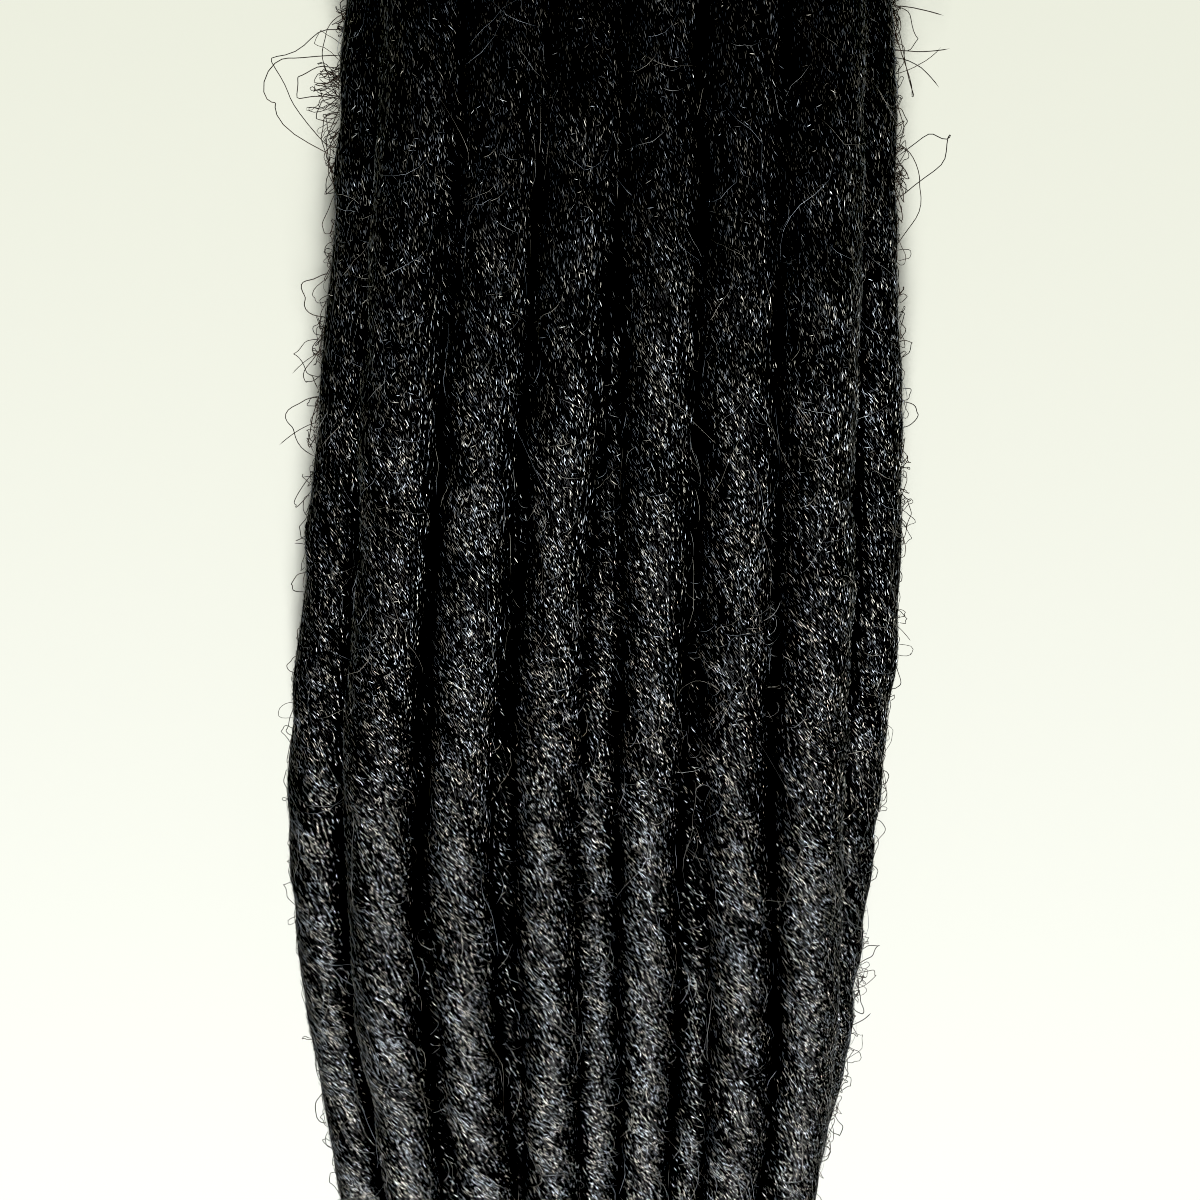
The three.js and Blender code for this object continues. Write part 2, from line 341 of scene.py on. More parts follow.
class Lock:
    """One lock's route, and the twist of its hair."""

    def __init__(self, node):
        self.node = node
        self.number = int(node[-2:])
        sections = lock_sections(node)
        self.tip, self.root = sections[0, 0], sections[-1, 0]
        step = 0.25
        self.at = np.arange(self.tip, self.root + step, step)
        self.x_at, self.z_at, self.radius_at = (
            smooth_curve(sections[:, 0], sections[:, column], self.at) for column in (1, 2, 3)
        )
        turn = np.tan(np.radians(twist_angle(self.at))) / np.maximum(self.radius_at, 1.0)
        self.turned_at = np.cumsum(turn[::-1])[::-1] * step

    def x(self, y):
        return np.interp(y, self.at, self.x_at)

    def z(self, y):
        return np.interp(y, self.at, self.z_at)

    def radius(self, y):
        return np.interp(y, self.at, self.radius_at)

    def turned(self, y):
        """How far the hair has turned round the lock between its root end and y."""
        return np.interp(y, self.at, self.turned_at)

    def holds(self, y):
        return (y > self.tip) & (y < self.root)


locks = [Lock(node) for node in sorted(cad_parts) if node.startswith("lock_")]


def untwisted(lock, y, around):
    """A place on a lock as it would be if its hair ran straight along it."""
    strand = around - lock.turned(y)
    radius = lock.radius(y)
    return np.stack([radius * np.sin(strand), y, radius * np.cos(strand)], axis=-1)


def wisp(lock, y, around):
    across, along = WISP_SIZE
    return noise(untwisted(lock, y, around) / (across, along, across), lock.number)


def relief(lock, y, around):
    """How far the felt stands off its mean surface."""
    place = untwisted(lock, y, around)
    lump = noise(place / LUMP_SIZE, 40 + lock.number)
    wander = 0.5 * noise(place / (2 * LUMP_SIZE), 80 + lock.number)
    strand = around - lock.turned(y) + wander
    crease = np.abs(np.cos(0.5 * STRANDS * strand + lock.number))
    depth = STRAND_DEPTH * (0.65 + 0.35 * noise(place / (3 * LUMP_SIZE), 120 + lock.number))
    return depth * (np.sqrt(crease) - 0.8) + LUMP_DEPTH * 0.5 * lump + WISP_DEPTH * 0.5 * wisp(lock, y, around)


def end_cover(lock, y):
    """Fades the relief out where a lock's ends round off."""
    return smooth_step((y - lock.tip) / 6.0) * smooth_step((lock.root - y) / 3.0)


band_box = np.array([list(corner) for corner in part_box("tie_band")]) / MM
band_y = band_box[:, 1].mean()
band_half = (band_box[1, 1] - band_box[0, 1]) / 2


def beside_band(y):
    """0 under the band and 1 well away from it."""
    return smooth_step((np.abs(y - band_y) - band_half) / BAND_EASE)


def on_lock(lock, y, around, height):
    """Points on a lock's felt, raised by height, kept above the table."""
    free = beside_band(y)
    felt = (SWELL + relief(lock, y, around)) * end_cover(lock, y) * free - BAND_SQUEEZE * (1 - free)
    reach = np.maximum(lock.radius(y) + felt, 0.2) + height
    x = lock.x(y) + reach * np.sin(around)
    z = lock.z(y) + reach * np.cos(around)
    return np.stack([x, y, np.maximum(z, 0.02)], axis=-1)


def buried(lock, y, around, clearance):
    """True where a point just outside a lock's felt is inside another lock, or on the table."""
    point = on_lock(lock, y, around, clearance)
    hidden = lock.z(y) + (lock.radius(y) + clearance) * np.cos(around) < 0.15
    for other in locks:
        if other is not lock:
            reach = np.where(other.holds(y), other.radius(y) - 0.2, -1.0)
            hidden |= np.hypot(point[:, 0] - other.x(y), point[:, 2] - other.z(y)) < reach
    return hidden


# How open each place on a lock is, on a grid of places along it and round it

OPEN_STEP = 2.0
OPEN_SIDES = 36
LOOKS = 24  # directions that each place is looked at from


def openness_grid(lock):
    """The share of directions across the hank from which each place on a lock is seen."""
    places = np.arange(lock.tip, lock.root + OPEN_STEP, OPEN_STEP)
    around = 2 * np.pi * np.arange(OPEN_SIDES) / OPEN_SIDES - np.pi
    y, a = (v.ravel() for v in np.meshgrid(places, around, indexing="ij"))
    x = lock.x(y) + lock.radius(y) * np.sin(a)
    z = lock.z(y) + lock.radius(y) * np.cos(a)
    total = np.zeros(len(y))
    best = 0.0
    for look in (np.arange(LOOKS) + 0.5) * 2 * np.pi / LOOKS - np.pi:
        towards = np.cos(a - look)
        free = towards > 0.05
        for other in locks:
            if other is lock:
                continue
            dx, dz = other.x(y) - x, other.z(y) - z
            ahead = dx * np.sin(look) + dz * np.cos(look)
            aside = np.abs(dx * np.cos(look) - dz * np.sin(look))
            reach = np.where(other.holds(y), other.radius(y), 0.0)
            free &= ~((ahead > 0) & (aside < reach))
        weight = 1.0 if abs(look) < np.radians(85) else UNDERSIDE_SHARE
        total += free * np.maximum(towards, 0.0) * weight
        best += max(math.cos(look), 0.0)
    return places, around, (total / best).reshape(len(places), OPEN_SIDES)


def openness(lock, y, around):
    """The openness grid's value at each place, straight between its points."""
    places, _, grid = lock.open
    row = np.clip((y - places[0]) / OPEN_STEP, 0, len(places) - 1.001)
    column = ((around + np.pi) % (2 * np.pi)) / (2 * np.pi) * OPEN_SIDES
    r, c = row.astype(int), column.astype(int) % OPEN_SIDES
    tr, tc = row - r, column - np.floor(column)
    following = (c + 1) % OPEN_SIDES
    low = between(grid[r, c], grid[r, following], tc)
    high = between(grid[r + 1, c], grid[r + 1, following], tc)
    return between(low, high, tr)


for lock in locks:
    lock.open = openness_grid(lock)


# Meshes

def make_object(name, points_mm, faces, materials, smooth=True):
    """A mesh object from points and an array of triangles or quads."""
    mesh = bpy.data.meshes.new(name)
    count, corners = faces.shape
    mesh.vertices.add(len(points_mm))
    mesh.vertices.foreach_set("co", (points_mm * MM).astype(np.float32).ravel())
    mesh.loops.add(count * corners)
    mesh.loops.foreach_set("vertex_index", faces.astype(np.int32).ravel())
    mesh.polygons.add(count)
    mesh.polygons.foreach_set("loop_start", np.arange(0, count * corners, corners, dtype=np.int32))
    mesh.polygons.foreach_set("loop_total", np.full(count, corners, dtype=np.int32))
    mesh.update(calc_edges=True)
    mesh.polygons.foreach_set("use_smooth", np.full(count, smooth, dtype=bool))
    for material in materials:
        mesh.materials.append(material)
    thing = bpy.data.objects.new(name, mesh)
    bpy.context.scene.collection.objects.link(thing)
    return thing


def grid_faces(rings, sides):
    """Triangles of a tube's wall, with rings one after another."""
    ring, side = np.meshgrid(np.arange(rings - 1), np.arange(sides), indexing="ij")
    a = (ring * sides + side).ravel()
    b = (ring * sides + (side + 1) % sides).ravel()
    return np.vstack([np.stack([a, b, b + sides], axis=-1), np.stack([a, b + sides, a + sides], axis=-1)])


def end_fan(ring, middle, flip):
    following = np.roll(ring, -1)
    fan = [following, ring] if flip else [ring, following]
    return np.stack([*fan, np.full(len(ring), middle)], axis=-1)


def core_piece(lock, material):
    shows = lock.open[2].max() > 0.5
    step, sides = (TOP_RINGS, TOP_SIDES) if shows else (LOW_RINGS, LOW_SIDES)
    rounding = lock.tip + np.array([2.4, 1.6, 0.9, 0.4, 0.0])
    places = np.concatenate([np.arange(lock.root, lock.tip + 3.0, -step), rounding])
    around = 2 * np.pi * np.arange(sides) / sides
    y, a = (v.ravel() for v in np.meshgrid(places, around, indexing="ij"))
    points = on_lock(lock, y, a, 0.0)
    place = untwisted(lock, y, a)
    first, last = np.arange(sides), (len(places) - 1) * sides + np.arange(sides)
    count = len(points)
    points = np.vstack([points, points[first].mean(axis=0), points[last].mean(axis=0)])
    place = np.vstack([place, place[first].mean(axis=0), place[last].mean(axis=0)])
    faces = np.vstack([
        grid_faces(len(places), sides),
        end_fan(first, count, True),
        end_fan(last, count + 1, False),
    ])
    piece = make_object(lock.node + "_felt", points, faces, [material])
    layer = piece.data.attributes.new("twist_place", "FLOAT_VECTOR", "POINT")
    layer.data.foreach_set("vector", place.astype(np.float32).ravel())
    # painted shade: the felt's gloss is scaled by how open each place is, so it fades out in the grooves where shade
    # falls
    shows = np.append(openness(lock, y, a) ** CREST_SHARE, [0.0, 0.0])
    layer = piece.data.attributes.new("shows", "FLOAT", "POINT")
    layer.data.foreach_set("value", shows.astype(np.float32))
    return piece


def hair_piece(name, points, faces, each, tone, materials, which):
    """An object of many hairs, each of the same number of points, with one tone and material a hair."""
    piece = make_object(name, points, faces, materials, smooth=False)
    mesh = piece.data
    hairs = len(points) // each
    values = np.repeat(tone, each).astype(np.float32)
    mesh.attributes.new("tone", "FLOAT", "POINT").data.foreach_set("value", values)
    mesh.polygons.foreach_set("material_index", np.repeat(which, len(faces) // hairs).astype(np.int32))
    # every hair has a cell of the map to itself, with its points on a circle in the cell
    cells = math.ceil(math.sqrt(hairs))
    hair, corner = np.divmod(faces.ravel(), each)
    turn = 2.4 * corner
    u = (hair % cells + 0.5 + 0.42 * np.cos(turn)) / cells
    v = (hair // cells + 0.5 + 0.42 * np.sin(turn)) / cells
    layer = mesh.uv_layers.new(name="OFBake")
    layer.data.foreach_set("uv", np.stack([u, v], axis=-1).astype(np.float32).ravel())
    return piece


def slivers(start, middle, end, out, width, roll):
    """Thin closed four-sided hairs, pointed at start and end and wide in the middle, that face out."""
    along = end - start
    along /= np.linalg.norm(along, axis=1, keepdims=True)
    side = unit(np.cross(along, out))
    up = np.cross(side, along)
    turned = side * np.cos(roll)[:, None] + up * np.sin(roll)[:, None]
    half = turned * (width / 2)[:, None]
    points = np.stack([start, end, middle - half, middle + half], axis=1).reshape(-1, 3)
    one = np.array([[0, 3, 2], [1, 2, 3], [0, 2, 1], [0, 1, 3]])
    corners = points.reshape(-1, 4, 3)
    volume = np.einsum(
        "ij,ij->i",
        corners[:, 1] - corners[:, 0],
        np.cross(corners[:, 2] - corners[:, 0], corners[:, 3] - corners[:, 0]),
    )
    faces = one[None] + (4 * np.arange(len(start)))[:, None, None]
    inside_out = volume > 0
    faces[inside_out] = faces[inside_out][:, :, ::-1]
    return points, faces.reshape(-1, 3), 4


def tubes(lines, radius, roll, sides=3):
    """Points and triangles of pointed tubes along lines, an array of hairs by places by 3."""
    hairs, count, _ = lines.shape
    along = np.gradient(lines, axis=1)
    along /= np.linalg.norm(along, axis=2, keepdims=True) + 1e-9
    guide = np.where(np.abs(along[..., 2:3]) > 0.8, np.array([1.0, 0.0, 0.0]), np.array([0.0, 0.0, 1.0]))
    side = np.cross(along, guide)
    side /= np.linalg.norm(side, axis=2, keepdims=True) + 1e-9
    up = np.cross(side, along)
    inner = slice(1, count - 1)
    turn = (roll[:, None] + 2 * np.pi * np.arange(sides) / sides)[:, None, :, None]
    ring = side[:, inner, None, :] * np.cos(turn) + up[:, inner, None, :] * np.sin(turn)
    rings = lines[:, inner, None, :] + ring * radius[:, None, None, None]
    middle = count - 2
    each = middle * sides + 2
    walls = rings.reshape(hairs, middle * sides, 3)
    points = np.concatenate([lines[:, :1], walls, lines[:, -1:]], axis=1).reshape(-1, 3)
    k = np.arange(sides)
    following = (k + 1) % sides
    faces = [np.stack([np.zeros(sides, int), 1 + following, 1 + k], axis=-1)]
    for m in range(middle - 1):
        a = 1 + m * sides
        b = a + sides
        faces.append(np.stack([a + k, a + following, b + following], axis=-1))
        faces.append(np.stack([a + k, b + following, b + k], axis=-1))
    last = 1 + (middle - 1) * sides
    faces.append(np.stack([last + k, last + following, np.full(sides, each - 1)], axis=-1))
    one = np.vstack(faces)
    triangles = (one[None] + (np.arange(hairs) * each)[:, None, None]).reshape(-1, 3)
    return points, triangles, each


def unit(vectors):
    return vectors / (np.linalg.norm(vectors, axis=-1, keepdims=True) + 1e-9)


def hair_share(y):
    """Fewer hairs beyond the stretch that the photograph shows."""
    start, end = PHOTO_STRETCH
    inside = smooth_step((y - start + 10) / 10) * smooth_step((end + 10 - y) / 10)
    return between(FAR_SHARE, 1.0, inside)


def even_spread(count, rng):
    """Places in the unit square that keep their distance, and each one's turn, from 0 to 1.

    Those with a turn below any share of 1 are spread evenly too.
    """
    order = np.arange(count)
    nudge = 0.3 / math.sqrt(count)
    u = (order * EVEN_STEPS[0] + rng.uniform() + rng.uniform(-nudge, nudge, count)) % 1.0
    v = (order * EVEN_STEPS[1] + rng.uniform() + rng.uniform(-nudge, nudge, count)) % 1.0
    return u, v, (order + 0.5) / count


def felted_hairs(lock, materials, rng):
    """Short hairs that lie in the felt along the twist, where the lock can be seen."""
    length = lock.root - lock.tip
    girth = 2 * np.pi * lock.radius_at.mean()
    tries = int(HAIRS_PER_MM2 * length * girth)
    y, strand, turn = even_spread(tries, rng)
    y = between(lock.tip + 0.6, lock.root - 0.2, y)
    around = (2 * np.pi * strand + lock.turned(y)) % (2 * np.pi) - np.pi
    wanted = np.clip(2.0 * openness(lock, y, around) ** CREST_SHARE, 0.0, 1.0) * hair_share(y)
    wanted *= np.clip(0.75 + 0.6 * wisp(lock, y, around), 0.2, 1.0)
    wanted *= between(SIDE_SHARE, 1.0, np.maximum(np.cos(around), 0.0))
    keep = turn < wanted
    y, around = y[keep], around[keep]
    keep = ~buried(lock, y, around, 0.2) & (np.abs(y - band_y) > band_half - 0.7)
    y, around = y[keep], around[keep]
    count = len(y)
    place = untwisted(lock, y, around)
    sway = HAIR_SWAY * noise(place / (2.5, 4.0, 2.5), 160 + lock.number)
    angle = twist_angle(y) + sway + rng.normal(0.0, HAIR_SPREAD, count)
    unruly = rng.uniform(0.0, 1.0, count) < UNRULY_SHARE
    angle = np.radians(np.where(unruly, rng.uniform(-90, 90, count), angle))
    half = 0.5 * between(*HAIR_LENGTH, rng.uniform(0, 1, count) ** 1.5)
    step_y = -np.cos(angle) * half
    step_a = np.sin(angle) * half / lock.radius(y)
    rise = half * np.sin(np.radians(rng.normal(hair_lean(y), HAIR_TILT)))
    height = np.abs(rise) + rng.uniform(*HAIR_ROOT, count)
    cut_start, cut_end = cut_ends(lock, rng)
    start = on_lock(lock, y - step_y, around - step_a, height + rise)
    end = on_lock(lock, y + step_y, around + step_a, height - rise)
    middle = on_lock(lock, y, around, height)
    middle = between(middle, (start + end) / 2, 0.8) + rng.normal(0.0, HAIR_ARCH, (count, 3))
    count += len(cut_start)
    points, faces, each = slivers(
        np.vstack([start, cut_start]),
        np.vstack([middle, between(cut_start, cut_end, 0.6)]),
        np.vstack([end, cut_end]),
        np.vstack([faces_up(around), np.tile((0.0, 0.0, 1.0), (len(cut_start), 1))]),
        rng.uniform(*HAIR_WIDTH, count),
        np.radians(rng.normal(0.0, HAIR_ROLL, count)),
    )
    # painted shade: each hair's tone sets its colour and whether it is of the dull kind, and it is lowered away from
    # the open crests, so the hairs in the grooves are painted darker and duller
    lit = np.clip(1.25 * openness(lock, y, around), 0.0, 1.0) ** GROOVE_PAINTED_SHADE
    tone = rng.uniform(0.0, 1.0, count) * np.append(lit, np.ones(len(cut_start)))
    which = short_kinds_at(points[::each], tone, len(materials), rng)
    return hair_piece(lock.node + "_hair", points, faces, each, tone, materials, which)


def hair_lean(y):
    start, end = LEAN_CHANGES
    return between(*HAIR_LEAN, smooth_step((start - y) / (start - end)))


def faces_up(around):
    """Straight out from a lock, turned up a little."""
    return unit(np.stack([np.sin(around), np.zeros(len(around)), np.cos(around) + FACE_UP], axis=-1))


def kinds_at(points, kinds, rng):
    """Which kind of hair is at each place. Hairs of one kind lie in small patches."""
    patch = noise(points / TINT_PATCH, 7) + 0.35 * rng.normal(0.0, 1.0, len(points))
    steps = np.linspace(-TINT_SPREAD, TINT_SPREAD, kinds - 1) if kinds > 1 else np.zeros(0)
    return np.searchsorted(steps, patch)


def short_kinds_at(points, tone, kinds, rng):
    """As kinds_at, with the dull kind, which is the last, for the darkest hairs."""
    return np.where(tone < DULL_SHARE, kinds - 1, kinds_at(points, kinds - 1, rng))


def cut_ends(lock, rng):
    """The cut hair ends that show on a lock's root end."""
    count = CUT_ENDS
    reach = lock.radius(lock.root) * np.sqrt(rng.uniform(0.0, 0.95, count))
    around = rng.uniform(-np.pi, np.pi, count)
    x = lock.x(lock.root) + reach * np.sin(around)
    z = np.maximum(lock.z(lock.root) + reach * np.cos(around), 0.05)
    start = np.stack([x, np.full(count, lock.root - 0.6), z], axis=-1)
    out = np.stack([np.full(count, 0.0), rng.uniform(0.5, 1.2, count), np.full(count, 0.0)], axis=-1)
    end = start + out + rng.normal(0.0, 0.12, (count, 3))
    return start, end


def lock_tops(x, y):
    """The height of the locks at each place, and that of loose hair lying over them."""
    hard, heap = np.zeros(len(x)), np.zeros(len(x))
    first, last = np.full(len(x), 99.0), np.full(len(x), -99.0)
    for lock in locks:
        held = lock.holds(y)
        middle, reach = lock.x(y), lock.radius(y) + SWELL
        aside = x - middle
        over = lock.z(y) + np.sqrt(np.maximum(reach**2 - aside**2, 0.0))
        hard = np.where(held & (np.abs(aside) < reach), np.maximum(hard, over), hard)
        bow = lock.z(y) + reach - aside**2 / (2 * reach)
        heap += np.where(held, np.exp(bow / WEB_SOFTNESS), 0.0)
        first = np.where(held, np.minimum(first, middle), first)
        last = np.where(held, np.maximum(last, middle), last)
    between_locks = (x > first) & (x < last)
    return hard, WEB_SOFTNESS * np.log(heap + 1e-9) - 0.3, between_locks


def web_piece(materials, rng):
    """Short loose hairs over the grooves, in patches."""
    low, high = WEB_STRETCH
    tries = int(WEB_PER_MM2 * (high - low) * 2 * WEB_HALF_WIDTH)
    across, along, turn = even_spread(tries, rng)
    x, y = between(-WEB_HALF_WIDTH, WEB_HALF_WIDTH, across), between(low, high, along)
    hard, web, inside = lock_tops(x, y)
    start, end = WEB_CHANGES
    raised = between(*WEB_SHARE, 1.0 - smooth_step((start - y) / (start - end)))
    patch = noise(np.stack([x, y, np.zeros(tries)], axis=-1) / WEB_PATCH, 300)
    wanted = np.clip(0.5 + 2.5 * (patch + raised), 0.0, 1.0)
    over = web - hard
    keep = inside & (over > WEB_OVER[0]) & (over < WEB_OVER[1]) & (turn < wanted)
    x, y = x[keep], y[keep]
    count = len(x)
    angle = np.radians(twist_angle(y) + WEB_TURN + rng.normal(0.0, 14.0, count))
    half = 0.5 * between(*WEB_LENGTH, rng.uniform(0, 1, count) ** 1.5)
    dx, dy = np.sin(angle) * half, -np.cos(angle) * half
    rise = half * np.sin(np.radians(rng.normal(hair_lean(y), HAIR_TILT)))
    sink = rng.uniform(*WEB_SINK, count)
    start = np.stack([x - dx, y - dy, lock_tops(x - dx, y - dy)[1] + sink + rise], axis=-1)
    end = np.stack([x + dx, y + dy, lock_tops(x + dx, y + dy)[1] + sink - rise], axis=-1)
    middle = (start + end) / 2 + rng.normal(0.0, HAIR_ARCH, (count, 3))
    step = 0.4
    slope = (lock_tops(x + step, y)[1] - lock_tops(x - step, y)[1]) / (2 * step)
    out = unit(np.stack([-slope, np.zeros(count), np.ones(count)], axis=-1))
    width = rng.uniform(*HAIR_WIDTH, count)
    points, faces, each = slivers(start, middle, end, out, width, np.radians(rng.normal(0.0, HAIR_ROLL, count)))
    # painted shade: the loose hair over the grooves gets low tones, so it is painted dark and is mostly of the dull
    # kind
    tone = rng.uniform(*WEB_SHADED_TONE, count)
    which = short_kinds_at(points[::each], tone, len(materials), rng)
    return hair_piece("loose_hair", points, faces, each, tone, materials, which)


# Longer hairs, each a thin tube along a line of places

def wandering_lines(lock, count, rng):
    """Longer hairs that wander over a lock, lying on it."""
    tries = 8 * count
    y = rng.uniform(lock.tip + 2.0, lock.root - 1.0, tries)
    around = rng.uniform(-1.5, 1.5, tries)
    keep = (openness(lock, y, around) > 0.3) & (rng.uniform(0, 1, tries) < hair_share(y))
    y, around = y[keep][:count], around[keep][:count]
    count = len(y)
    step = between(*WANDER_LENGTH, rng.uniform(0, 1, count) ** 2) / (LINE_PLACES - 1)
    wild = rng.uniform(0, 1, count) < WILD_SHARE
    angle = np.radians(twist_angle(y) + rng.normal(0.0, np.where(wild, 40.0, 9.0)))
    bend = np.radians(rng.normal(0.0, 9.0, count))
    lift = np.minimum(rng.exponential(0.18, count), 0.8)
    line = []
    for k in range(LINE_PLACES):
        t = k / (LINE_PLACES - 1)
        height = 0.06 + lift * math.sin(math.pi * t) - 0.12 * (abs(2 * t - 1) > 0.95)
        line.append(on_lock(lock, y, around, height))
        y = np.clip(y - np.cos(angle) * step, lock.tip + 0.3, lock.root - 0.1)
        around = around + np.sin(angle) * step / lock.radius(y)
        angle = angle + bend + np.radians(rng.normal(0.0, 14.0, count))
    return np.stack(line, axis=1)


def crossing_lines(left, right, count, rng):
    """Hairs that cross the groove from one lock to its neighbour on the right."""
    low, high = max(left.tip, right.tip) + 8.0, band_y - 2 * band_half
    y = rng.uniform(low, high, count)
    rise = rng.normal(-9.0, 3.0, count)
    start = on_lock(left, y, rng.uniform(-0.2, 0.9, count), 0.0)
    end = on_lock(right, y + rise, rng.uniform(-0.9, 0.2, count), 0.0)
    lift = rng.uniform(0.3, 1.4, (count, 1)) * np.array([0.0, 0.0, 1.0])
    first = start + unit(end - start) * 1.5 + lift + rng.normal(0.0, 0.5, (count, 3))
    second = end - unit(end - start) * 1.5 + lift + rng.normal(0.0, 0.5, (count, 3))
    t = np.linspace(0.0, 1.0, LINE_PLACES)[None, :, None]
    start, first, second, end = (p[:, None, :] for p in (start, first, second, end))
    return start * (1 - t) ** 3 + 3 * first * t * (1 - t) ** 2 + 3 * second * t**2 * (1 - t) + end * t**3


def curled_lines(start, heading, axis, curl, length, rng):
    """Hairs that leave start along heading and turn about axis by curl, in degrees a millimetre."""
    step = (length / (LINE_PLACES - 1))[:, None]
    heading = unit(heading)
    line = [start]
    for _ in range(LINE_PLACES - 1):
        turn = np.radians(curl[:, None]) * step * (1.0 + 0.5 * rng.normal(size=(len(start), 1)))
        heading = unit(heading * np.cos(turn) + np.cross(axis, heading) * np.sin(turn))
        line.append(line[-1] + heading * step)
    lines = np.stack(line, axis=1)
    lines[..., 2] = np.maximum(lines[..., 2], 0.06)
    return lines


def edge_place(side, y):
    """A place on the hank's outermost lock on one side, a little inside its surface."""
    outer = max((lock for lock in locks if lock.holds(y)), key=lambda k: side * k.x(y) + k.radius(y))
    return np.array([outer.x(y) + side * (outer.radius(y) - 0.1), y, outer.z(y)])


def looped_lines(side, leave, back, reach, far, places, rng):
    """Hairs that leave the hank's edge at leave, go out by reach at far, and come back at back."""
    count = len(side)
    start = np.array([edge_place(s, y) for s, y in zip(side, leave)])
    end = np.array([edge_place(s, y) for s, y in zip(side, back)])
    start[:, 2] += rng.uniform(-1.2, 1.5, count)
    end[:, 2] += rng.uniform(-1.2, 1.5, count)
    # the two pulls of each curve stand where its furthest point comes to reach and far
    centre = (far - 0.125 * (leave + back)) / 0.75
    bulge = np.minimum(0.45 * reach + 0.15 * np.abs(leave - back), 2.5)
    out = side * reach / 0.75
    level = rng.normal(0.0, 0.15, (2, count)) * reach
    first = start + np.stack([out, centre + bulge - leave, level[0]], axis=-1)
    second = end + np.stack([out, centre - bulge - back, level[1]], axis=-1)
    t = np.linspace(0.0, 1.0, places)[None, :, None]
    start, first, second, end = (p[:, None, :] for p in (start, first, second, end))
    lines = start * (1 - t) ** 3 + 3 * first * t * (1 - t) ** 2 + 3 * second * t**2 * (1 - t) + end * t**3
    for waves in (1.5, 2.6):
        phase = rng.uniform(0.0, 2 * np.pi, (count, 1, 3))
        size = 0.07 * reach[:, None, None] * np.sin(np.pi * t)
        lines = lines + size * np.sin(2 * np.pi * waves * t + phase)
    lines[..., 2] = np.maximum(lines[..., 2], 0.08)
    return lines


def small_loop_rows(rng):
    """Rows like those of LOOPS for the small loops and the tangles."""
    count = SMALL_LOOPS
    side = rng.choice([-1.0, 1.0], count)
    leave = rng.uniform(-144.0, 118.0, count)
    back = leave - rng.uniform(0.4, 4.0, count)
    reach = np.minimum(0.2 + rng.exponential(SMALL_REACH, count), 2.6)
    rows = [np.stack([side, leave, back, reach, between(leave, back, rng.uniform(-0.2, 1.2, count))])]
    for side, y, spread, out, number in TANGLES:
        leave = y + spread * rng.normal(0.0, 1.0, number)
        back = leave - rng.normal(0.0, 1.5, number)
        reach = out * rng.uniform(0.25, 1.1, number)
        far = (leave + back) / 2 + rng.normal(0.0, 1.2, number)
        rows.append(np.stack([np.full(number, float(side)), leave, back, reach, far]))
    return np.concatenate(rows, axis=1)


def free_lines(rng):
    """The hairs of FREE_HAIRS."""
    side, y, heading, curl, length = np.array(FREE_HAIRS, float).T
    start = np.array([edge_place(s, p) for s, p in zip(side, y)])
    heading = np.radians(heading)
    out = np.stack([side * np.cos(heading), np.sin(heading), rng.normal(0, 0.05, len(side))], axis=-1)
    axis = np.stack([np.zeros(len(side)), np.zeros(len(side)), side], axis=-1)
    return curled_lines(start, out, axis, curl, length, rng)


def fuzz_lines(rng):
    """Short curls that stand on the locks, thickest in a few patches."""
    places = [(x, y, spread) for x, y, spread, count in FUZZ_PATCHES for _ in range(count)]
    places = np.array(places)
    x = places[:, 0] + rng.normal(0.0, 1.0, len(places)) * places[:, 2]
    y = places[:, 1] + rng.normal(0.0, 1.0, len(places)) * places[:, 2]
    level = np.zeros(len(places))
    for lock in locks:
        aside = np.abs(x - lock.x(y)) / lock.radius(y)
        over = lock.z(y) + lock.radius(y) * np.sqrt(np.maximum(1.0 - aside**2, 0.0))
        level = np.where(lock.holds(y) & (aside < 0.9), np.maximum(level, over), level)
    start = np.stack([x, y, level], axis=-1)[level > 0]
    count = len(start)
    heading = rng.normal(0.0, 1.0, (count, 3))
    heading[:, 2] = rng.uniform(0.0, 0.5, count)
    axis = unit(np.stack([rng.normal(0, 0.4, count), rng.normal(0, 0.4, count), np.ones(count)], axis=-1))
    curl = rng.choice([-1, 1], count) * rng.uniform(15, 60, count)
    return curled_lines(start, heading, axis, curl, rng.uniform(1.5, 6.0, count), rng)


def tip_lines(lock, rng):
    """Thin ends that stand out of a lock's tip."""
    around = rng.uniform(-np.pi, np.pi, TIP_HAIRS)
    y = lock.tip + rng.uniform(0.5, 4.0, TIP_HAIRS)
    start = on_lock(lock, y, around, -0.1)
    out = np.stack([0.35 * np.sin(around), np.full(TIP_HAIRS, -1.0), 0.3 * np.cos(around)], axis=-1)
    axis = unit(rng.normal(0.0, 1.0, (TIP_HAIRS, 3)))
    curl = rng.normal(0.0, 12.0, TIP_HAIRS)
    return curled_lines(start, out + rng.normal(0, 0.2, (TIP_HAIRS, 3)), axis, curl, rng.uniform(1.5, 7.0, TIP_HAIRS), rng)


def long_hair_piece(name, lines, radius, materials, rng):
    count = len(lines)
    radius = rng.uniform(*radius, count)
    points, faces, each = tubes(lines, radius, rng.uniform(0, 2 * np.pi, count))
    tone = rng.uniform(*LONG_HAIR_TONE, count)
    which = kinds_at(points[::each], len(materials), rng)
    piece = hair_piece(name, points, faces, each, tone, materials, which)
    piece.data.polygons.foreach_set("use_smooth", np.ones(len(faces), dtype=bool))
    return piece


# The band

